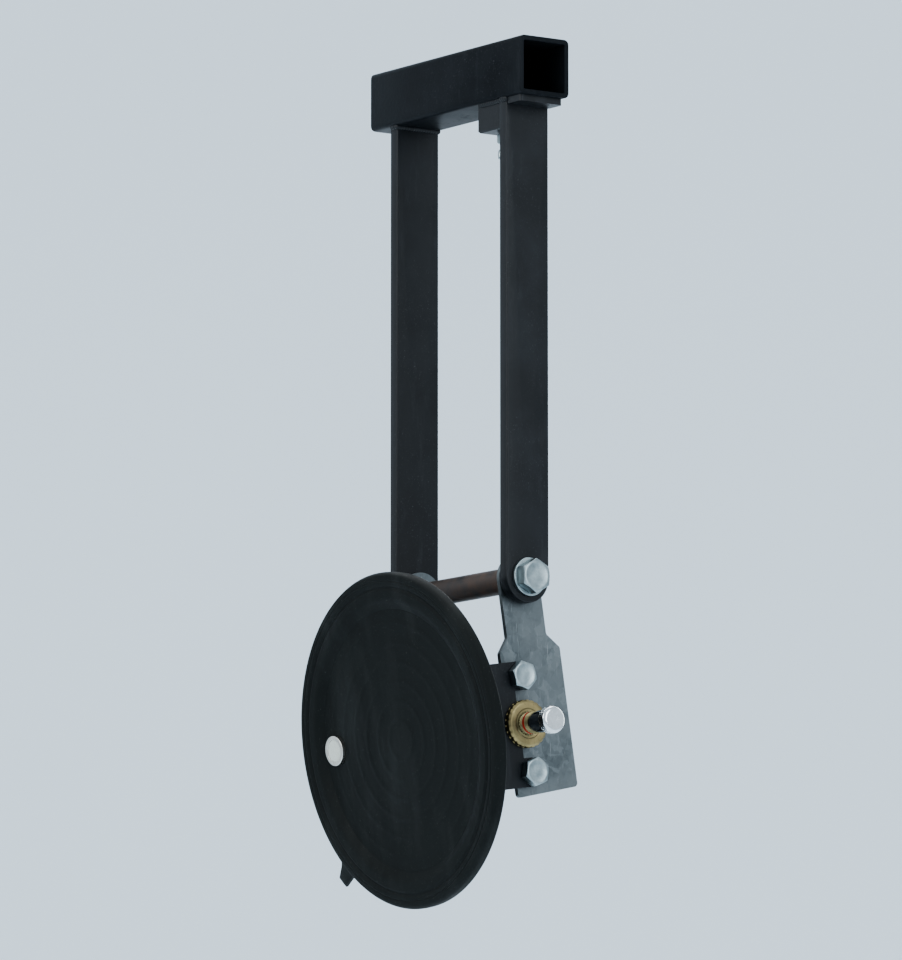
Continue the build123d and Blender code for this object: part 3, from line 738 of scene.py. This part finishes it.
sleeve_low, sleeve_high, _ = stretch_of("beam_sleeve")
SLEEVE_HALF = sleeve_high[2]
SLEEVE_WALL = 3 * MM


def square_ring(half, corner, steps=7):
    """Square seen along X with rounded corners, evenly indexed so that rings of it can be joined."""
    points = [(half, half), (-half, half), (-half, -half), (half, -half)]
    return rounded(points, corner, steps, closed=True)


def sleeve_loops():
    """Square tube: outer skin, broken end edges, inner skin, closed on itself."""
    e = 0.5 * MM
    outer, inner = SLEEVE_HALF, SLEEVE_HALF - SLEEVE_WALL
    x0, x1 = sleeve_low[0], sleeve_high[0]
    stack = [
        (x0 + e, outer, 3.6),
        (x1 - e, outer, 3.6),
        (x1 - 0.3 * e, outer - 0.3 * e, 3.5),
        (x1, outer - e, 3.3),
        (x1, inner + e, 1.3),
        (x1 - e, inner, 1.0),
        (x0 + e, inner, 1.0),
        (x0, inner + e, 1.3),
        (x0, outer - e, 3.3),
        (x0 + 0.3 * e, outer - 0.3 * e, 3.5),
    ]
    loops = []
    for x, half, corner in stack:
        ring = square_ring(half, corner * MM)
        loops.append(np.stack((np.full(len(ring), x), ring[:, 0], ring[:, 1]), axis=-1))
    return np.array(loops)


# The sleeve wears the darker copy of the powder coat: painted shade.
sleeve = link(
    "sleeve_tube",
    loops_to_mesh("sleeve_tube", [(sleeve_loops(), True)]),
    "hanger",
    finishes["sleeve_paint"],
)
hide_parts("beam_sleeve")

clamp_low, clamp_high, clamp_mid = stretch_of("clamp_screw")
nut_low, nut_high, _ = stretch_of("clamp_locknut")


def weld(name, route, outward, radius, seed):
    """Fillet weld along a route: a bead whose radius swells once in every 1.9 mm of travel.

    Point = route + r(s) * (cos t * outward + sin t * down), with r(s) = radius * (1 + ripple),
    and the route's two ends drawn in.
    """
    step = np.linalg.norm(np.diff(route, axis=0), axis=1)
    s = np.concatenate(([0.0], np.cumsum(step)))
    fine = np.linspace(0, s[-1], int(s[-1] / (0.38 * MM)))
    line = np.stack([np.interp(fine, s, route[:, k]) for k in range(3)], axis=-1)
    out = np.stack([np.interp(fine, s, outward[:, k]) for k in range(3)], axis=-1)
    out /= np.linalg.norm(out, axis=1, keepdims=True)
    wander = np.random.default_rng(seed).normal(0, 0.05, 40)
    slow = np.interp(fine, np.linspace(0, s[-1], 40), wander)
    ripple = 0.13 * np.abs(np.sin(math.pi * fine / (1.9 * MM))) + slow
    ends = np.clip(np.minimum(fine, s[-1] - fine) / (1.6 * MM), 0.12, 1) ** 0.5
    r = radius * (0.9 + ripple) * ends
    t = np.linspace(0, TURN, 18, endpoint=False)
    ring = np.cos(t)[None, :, None] * out[:, None] - np.sin(t)[None, :, None] * Z
    return line[:, None] + r[:, None, None] * ring


def around_box(low, high, z, inset):
    """Route and outward directions round the four sides of an upright box at height z."""
    points = np.array(
        [
            (low[0], low[1]),
            (high[0], low[1]),
            (high[0], high[1]),
            (low[0], high[1]),
            (low[0], low[1]),
        ]
    )
    centre = (low[:2] + high[:2]) / 2
    shrunk = points + inset * np.sign(centre - points)
    corners_out = np.sign(points - centre)
    route, out = [], []
    for k in range(4):
        side = shrunk[k + 1] - shrunk[k]
        normal = np.array((side[1], -side[0])) / np.linalg.norm(side)
        t = np.linspace(0.04, 0.96, 12)[:, None]
        route.append(shrunk[k] + t * side)
        out.append(np.repeat(normal[None], 12, axis=0))
        route.append(shrunk[k + 1][None])
        out.append(corners_out[k + 1][None] / math.sqrt(2))
    flat = np.concatenate(route)
    way = np.concatenate(out)
    lift = np.full((len(flat), 1), z)
    return np.concatenate((flat, lift), axis=1), np.concatenate((way, 0 * lift), axis=1)


beads = []
for seed, node in enumerate(("leg_left", "leg_right", "clamp_block"), start=3):
    low, high = corners(node)
    route, outward = around_box(low, high, -SLEEVE_HALF - 0.4 * MM, 0.5 * MM)
    beads.append(weld(f"weld_{node}", route, outward, 2.1 * MM, seed))
link(
    "hanger_welds",
    loops_to_mesh("hanger_welds", beads),
    "hanger",
    finishes["black_paint"],
    math.pi,
)

# ------------------------------------------------------------------ sizes of the standard fasteners
M12_FLATS, M12_THREAD, M12_PITCH = 19 * MM, 11.9 * MM, 1.75 * MM
M10_FLATS, M10_THREAD, M10_PITCH = 16 * MM, 9.9 * MM, 1.5 * MM
M8_FLATS, M8_THREAD, M8_PITCH = 13 * MM, 7.9 * MM, 1.25 * MM
M6_FLATS = 10 * MM
PLUG_FLATS = 17 * MM
SHANK_EDGE = 0.2 * MM

# ------------------------------------------------------------------ pivot bolt and its nut
bolt_low, bolt_high, _ = stretch_of("pivot_bolt")
washer_low, washer_high, _ = stretch_of("pivot_washers")
right_seat = np.array((washer_high[0], pivot[1], pivot[2]))
left_seat = np.array((washer_low[0], pivot[1], pivot[2]))
tip = np.array((bolt_low[0], pivot[1], pivot[2]))
THREAD_SHOWN = 18 * MM
plain_length = right_seat[0] - tip[0] - THREAD_SHOWN
pivot_bolt = link(
    "pivot_bolt_detailed",
    loops_to_mesh(
        "pivot_bolt_detailed",
        [
            hex_head(right_seat, X, Y, M12_FLATS, bolt_high[0] - washer_high[0]),
            cylinder(right_seat, -X, Y, 6 * MM, plain_length + 0.5 * MM, SHANK_EDGE),
            threaded(tip + X * THREAD_SHOWN, -X, Y, M12_THREAD, THREAD_SHOWN, M12_PITCH),
        ],
    ),
    "hanger",
    finishes["zinc"],
)
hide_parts("pivot_bolt")

nut_length = left_seat[0] - corners("pivot_nut")[0][0]
HEX_PART = 8.4 * MM
collar_profile = rounded(
    [
        (HEX_PART - 0.4 * MM, 6.4 * MM),
        (HEX_PART - 0.4 * MM, 8.9 * MM),
        (nut_length - 1.0 * MM, 8.7 * MM),
        (nut_length, 7.6 * MM),
        (nut_length, 6.6 * MM),
    ],
    1.2 * MM,
    6,
    closed=True,
)
pivot_nut = link(
    "pivot_nut_detailed",
    loops_to_mesh(
        "pivot_nut_detailed",
        [
            nut(left_seat, -X, Y, M12_FLATS, HEX_PART, 6.05 * MM),
            (turned(collar_profile, left_seat, -X, Y, 72), True),
        ],
    ),
    "hanger",
    finishes["zinc"],
)
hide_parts("pivot_nut")
insert_start = left_seat - X * (nut_length - 2.2 * MM)
insert = washer(insert_start, -X, Y, 5.95 * MM, 7.4 * MM, 2.0 * MM, 0.4 * MM)
link("nut_insert", loops_to_mesh("nut_insert", [insert]), "hanger", finishes["nylon"])

washer_stack = []
for sign in (-1, 1):
    seat = pivot + X * sign * (washer_high[0] - 2.5 * MM)
    washer_stack.append(washer(seat, X * sign, Y, 6.25 * MM, 12 * MM, 2.5 * MM, 0.5 * MM))
outer_washers = link(
    "pivot_washers_detailed",
    loops_to_mesh("pivot_washers_detailed", washer_stack),
    "hanger",
    finishes["zinc"],
)
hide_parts("pivot_washers")

# ------------------------------------------------------------------ bolts that hold cradle and plates
BOLT_DEPTH = 58 * MM
BOLT_RISE = 30 * MM
cheek_high = corners("cradle")[1][0]
plate_inner = corners("swivel_plate_right")[0][0]
plate_bolt_stack, plate_nut_stack, plate_washer_stack = [], [], []
bolts_high = corners("plate_bolts")[1][0]
WASHER = 2 * MM
PLATE_NUT = 8 * MM
for sign in (-1, 1):
    for n, rise in enumerate((-BOLT_RISE, BOLT_RISE)):
        spin = math.radians(11 + 23 * n + 17 * (sign + 1))
        across = back * math.cos(spin) + upward * math.sin(spin)
        seat = in_cup(sign * cheek_high, BOLT_DEPTH, rise)
        outward = X * sign
        plate_bolt_stack.append(hex_head(seat, outward, across, M10_FLATS, bolts_high - cheek_high))
        grip = cheek_high - plate_inner + WASHER + PLATE_NUT - 2 * MM
        plate_bolt_stack.append(cylinder(seat, -outward, across, 4.95 * MM, grip, SHANK_EDGE, 48))
        thread_start = seat - outward * (grip - SHANK_EDGE)
        end = threaded(thread_start, -outward, across, M10_THREAD, 3.6 * MM, M10_PITCH)
        plate_bolt_stack.append(end)
        inner = in_cup(sign * plate_inner, BOLT_DEPTH, rise)
        under_nut = washer(inner, -outward, across, 5.25 * MM, 9.5 * MM, WASHER, 0.4 * MM)
        plate_washer_stack.append(under_nut)
        nut_at = inner - outward * WASHER
        twist = back * math.cos(2.1 * spin) + upward * math.sin(2.1 * spin)
        plate_nut_stack.append(nut(nut_at, -outward, twist, M10_FLATS, PLATE_NUT, 5.05 * MM))
for name, node, stacks in (
    ("plate_bolts_detailed", "plate_bolts", plate_bolt_stack),
    ("plate_nuts_detailed", "plate_nuts", plate_nut_stack),
    ("plate_washers_detailed", "plate_washers", plate_washer_stack),
):
    piece = link(name, loops_to_mesh(name, stacks), "cup", finishes["zinc"])
    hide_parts(node)

# ------------------------------------------------------------------ screws that hold the cradle down
SCREW_X = 35 * MM
SCREW_RISE = 24 * MM
WEB_BACK = 24 * MM
screw_stack = []
for k, (sx, su) in enumerate(((-1, -1), (-1, 1), (1, -1), (1, 1))):
    spin = 0.4 + 0.9 * k
    across = X * math.cos(spin) + upward * math.sin(spin)
    seat = in_cup(sx * SCREW_X, WEB_BACK, su * SCREW_RISE)
    screw_stack.append(hex_head(seat, back, across, M6_FLATS, 4 * MM))
    screw_stack.append(cylinder(seat, -back, across, 3 * MM, 8.4 * MM, SHANK_EDGE, 32))
cradle_screws = link(
    "cradle_screws_detailed",
    loops_to_mesh("cradle_screws_detailed", screw_stack),
    "cup",
    finishes["zinc"],
)
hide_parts("cradle_screws")

# ------------------------------------------------------------------ clamp screw and locknut
HEAD = 5.5 * MM
screw_axis = np.array((clamp_mid[0], 0.0, 0.0))
under_head = screw_axis + Z * (clamp_low[2] + HEAD)
shank = clamp_high[2] - clamp_low[2] - HEAD
clamp_screw = link(
    "clamp_screw_detailed",
    loops_to_mesh(
        "clamp_screw_detailed",
        [
            hex_head(under_head, -Z, X, M8_FLATS, HEAD),
            threaded(under_head - Z * 0.1 * MM, Z, X, M8_THREAD, shank, M8_PITCH),
        ],
    ),
    "clamp",
    finishes["zinc"],
)
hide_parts("clamp_screw")
locknut = link(
    "clamp_locknut_detailed",
    loops_to_mesh(
        "clamp_locknut_detailed",
        [nut(screw_axis + Z * nut_high[2], -Z, Y, M8_FLATS, nut_high[2] - nut_low[2], 4.05 * MM)],
    ),
    "clamp",
    finishes["zinc"],
)
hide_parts("clamp_locknut")

# ------------------------------------------------------------------ hand pump
gland_high = stretch_of("pump_gland")[1]
FLANGE = 4.2 * MM
flange_start = in_cup(gland_high[0] - FLANGE, PUMP_DEPTH, 0)


def grip_flutes(count, depth, low, high):
    """Shape for turned(): shallow flutes round the edge, between two heights."""

    def shape(angle, height, radius):
        wave = np.abs(np.sin(angle * count / 2)) ** 0.7
        inside = (height > low) & (height < high)
        return radius - depth * (1 - wave) * inside

    return shape


GLAND_RADIUS = 15 * MM
ROD_HOLE = 7.06 * MM
gland_profile = rounded(
    [
        (0, ROD_HOLE),
        (0, GLAND_RADIUS),
        (0.9 * MM, GLAND_RADIUS),
        (3.0 * MM, GLAND_RADIUS),
        (FLANGE, 13.2 * MM),
        (FLANGE, 9.6 * MM),
        (FLANGE - 0.7 * MM, 9.0 * MM),
        (FLANGE - 0.7 * MM, 7.9 * MM),
        (FLANGE - 1.2 * MM, ROD_HOLE),
    ],
    0.35 * MM,
    5,
    closed=True,
)
spigot_profile = np.array([(0.1, 7.06), (0.1, 9.9), (-10.8, 9.9), (-10.8, 7.06)]) * MM
gland_flutes = grip_flutes(24, 0.5 * MM, 0.3 * MM, 3.4 * MM)
gland = link(
    "pump_gland_detailed",
    loops_to_mesh(
        "pump_gland_detailed",
        [
            (turned(gland_profile, flange_start, X, back, 192, gland_flutes), True),
            (turned(spigot_profile[::-1], flange_start, X, back, 64), True),
        ],
    ),
    "cup",
    finishes["brass"],
)
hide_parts("pump_gland")

knob_low, knob_high, _ = stretch_of("plunger_knob")
knob_start = in_cup(knob_low[0], PUMP_DEPTH, 0)
knob_length = knob_high[0] - knob_low[0]
KNOB_RADIUS = 8.5 * MM
KNURL_START = 8.2 * MM
knob_profile = rounded(
    [
        (0, 2 * MM),
        (0, 7.1 * MM),
        (1.1 * MM, KNOB_RADIUS),
        (knob_length - 1.6 * MM, KNOB_RADIUS),
        (knob_length - 0.2 * MM, 6.9 * MM),
        (knob_length, 4.2 * MM),
        (knob_length - 0.35 * MM, 1 * MM),
    ],
    np.array([0.5, 0.9, 0.5, 1.0, 2.4, 3.0, 1.0]) * MM,
    7,
)


def knurl(angle, height, radius):
    """Diamond knurl: two crossed helices of ridges on the knob's rim only."""
    a = angle * 22
    b = height / (0.8 * MM) * math.pi
    ridge = np.maximum(np.cos(a + b), np.cos(a - b))
    on_rim = np.clip((radius - KNURL_START) / (0.25 * MM), 0, 1)
    return radius - 0.28 * MM * (1 - ridge) / 2 * on_rim


def dense(profile, step):
    """The same profile with extra points, no further apart than step."""
    gaps = np.linalg.norm(np.diff(profile, axis=0), axis=1)
    s = np.concatenate(([0.0], np.cumsum(gaps)))
    fine = np.unique(np.concatenate((s, np.linspace(0, s[-1], int(s[-1] / step)))))
    return np.stack([np.interp(fine, s, profile[:, k]) for k in range(2)], axis=-1)


knob = link(
    "plunger_knob_detailed",
    loops_to_mesh(
        "plunger_knob_detailed",
        [turned(dense(knob_profile, 0.16 * MM), knob_start, X, back, 280, knurl)],
    ),
    "plunger",
    finishes["chrome"],
)
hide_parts("plunger_knob")

plug_low = stretch_of("head_plug")[0]
head_low = corners("pump_head")[0][0]
plug_seat = in_cup(head_low, PUMP_DEPTH, 0)
plug_across = back * math.cos(0.3) + upward * math.sin(0.3)
plug = link(
    "head_plug_detailed",
    loops_to_mesh(
        "head_plug_detailed",
        [
            hex_head(plug_seat, -X, plug_across, PLUG_FLATS, head_low - plug_low[0]),
            cylinder(plug_seat, X, plug_across, 5 * MM, 6.8 * MM, 0.3 * MM, 48),
        ],
    ),
    "cup",
    finishes["brass"],
)
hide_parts("head_plug")

# ------------------------------------------------------------------ floor, light and camera
FLOOR_Z = -1.35
VIEW_AZIMUTH = math.radians(55.5)
CAMERA_DISTANCE = 5.3
CAMERA_BELOW = 0.58

box_low, box_high = (np.array(corner) for corner in cad_box)
aim = (box_low + box_high) / 2


def surface_material(name, colour, rough):
    """Plain studio paint with a faint mottle."""
    f = Finish(name, metallic=0.0)
    cloud = f.noise(1.4, 3.0, 0.5)
    f.set("Base Color", f.mix(cloud, colour, tuple(0.97 * c for c in colour)))
    f.set("Roughness", rough)
    return f.material


def backdrop():
    """Floor that turns up into a wall behind: a profile carried along a straight line."""
    bend = np.linspace(0, math.pi / 2, 24)
    radius = 1.2
    far = 4.5
    floor = np.array([(-far, FLOOR_Z)])
    curve = np.stack((far + radius * np.sin(bend), FLOOR_Z + radius * (1 - np.cos(bend))), axis=-1)
    wall = np.array([(far + radius, FLOOR_Z + 6.0)])
    line = np.concatenate((floor, curve, wall))
    away = np.array((-math.sin(VIEW_AZIMUTH), math.cos(VIEW_AZIMUTH)))
    across = np.array((away[1], -away[0]))
    span = np.linspace(-7, 7, 2)
    flat = line[:, None, :1] * away + span[None, :, None] * across
    height = np.broadcast_to(line[:, None, 1:], (len(line), 2, 1))
    points = np.concatenate((flat, height), axis=-1)
    index = np.arange(len(line) * 2).reshape(-1, 2)
    quads = np.stack((index[:-1, 0], index[1:, 0], index[1:, 1], index[:-1, 1]), axis=-1)
    mesh = bpy.data.meshes.new("backdrop")
    mesh.from_pydata(points.reshape(-1, 3).tolist(), [], quads.tolist())
    mesh.shade_smooth()
    mesh.materials.append(surface_material("studio_floor", (0.82, 0.89, 0.945), 0.75))
    sheet = bpy.data.objects.new("backdrop", mesh)
    bpy.context.scene.collection.objects.link(sheet)


backdrop()


def softbox(name, place, size, power, colour):
    """Rectangular area light aimed at the middle of the object."""
    lamp = bpy.data.lights.new(name, "AREA")
    lamp.shape = "RECTANGLE"
    lamp.size, lamp.size_y = size
    lamp.energy = power
    lamp.color = colour
    holder = bpy.data.objects.new(name, lamp)
    holder.location = place
    holder.rotation_euler = (Vector(aim) - Vector(place)).to_track_quat("-Z", "Y").to_euler()
    bpy.context.scene.collection.objects.link(holder)


softbox("window", (0.3, -2.6, 0.9), (2.2, 1.6), 46, (1.0, 0.99, 0.97))
softbox("side_fill", (2.8, 0.3, 0.5), (1.6, 2.0), 32, (0.93, 0.97, 1.0))
softbox("overhead", (-0.6, 0.4, 2.4), (2.4, 2.4), 55, (1.0, 1.0, 1.0))
softbox("rear_rim", (-1.6, 2.3, 0.4), (1.4, 1.8), 35, (0.95, 0.98, 1.0))

world = bpy.data.worlds.new("studio")
bpy.context.scene.world = world
world.use_nodes = True
world.node_tree.nodes["Background"].inputs["Color"].default_value = (0.75, 0.82, 0.885, 1)
world.node_tree.nodes["Background"].inputs["Strength"].default_value = 1.15
bpy.context.scene.view_settings.look = "AgX - Medium High Contrast"

camera_data = bpy.data.cameras.new("camera")
camera = bpy.data.objects.new("camera", camera_data)
bpy.context.scene.collection.objects.link(camera)
bpy.context.scene.camera = camera
level = np.array((math.sin(VIEW_AZIMUTH), -math.cos(VIEW_AZIMUTH), 0.0))
eye = face_centre + level * CAMERA_DISTANCE - Z * CAMERA_BELOW
camera.location = eye
camera.rotation_euler = Vector(aim - eye).to_track_quat("-Z", "Y").to_euler()
camera_data.sensor_fit = "AUTO"
camera_data.sensor_width = 24.0
HEIGHT_SHARE = 0.90
object_height = box_high[2] - box_low[2]
camera_data.lens = 24.0 * HEIGHT_SHARE * float(np.linalg.norm(aim - eye)) / object_height
camera_data.clip_start = 0.05
camera_data.clip_end = 60
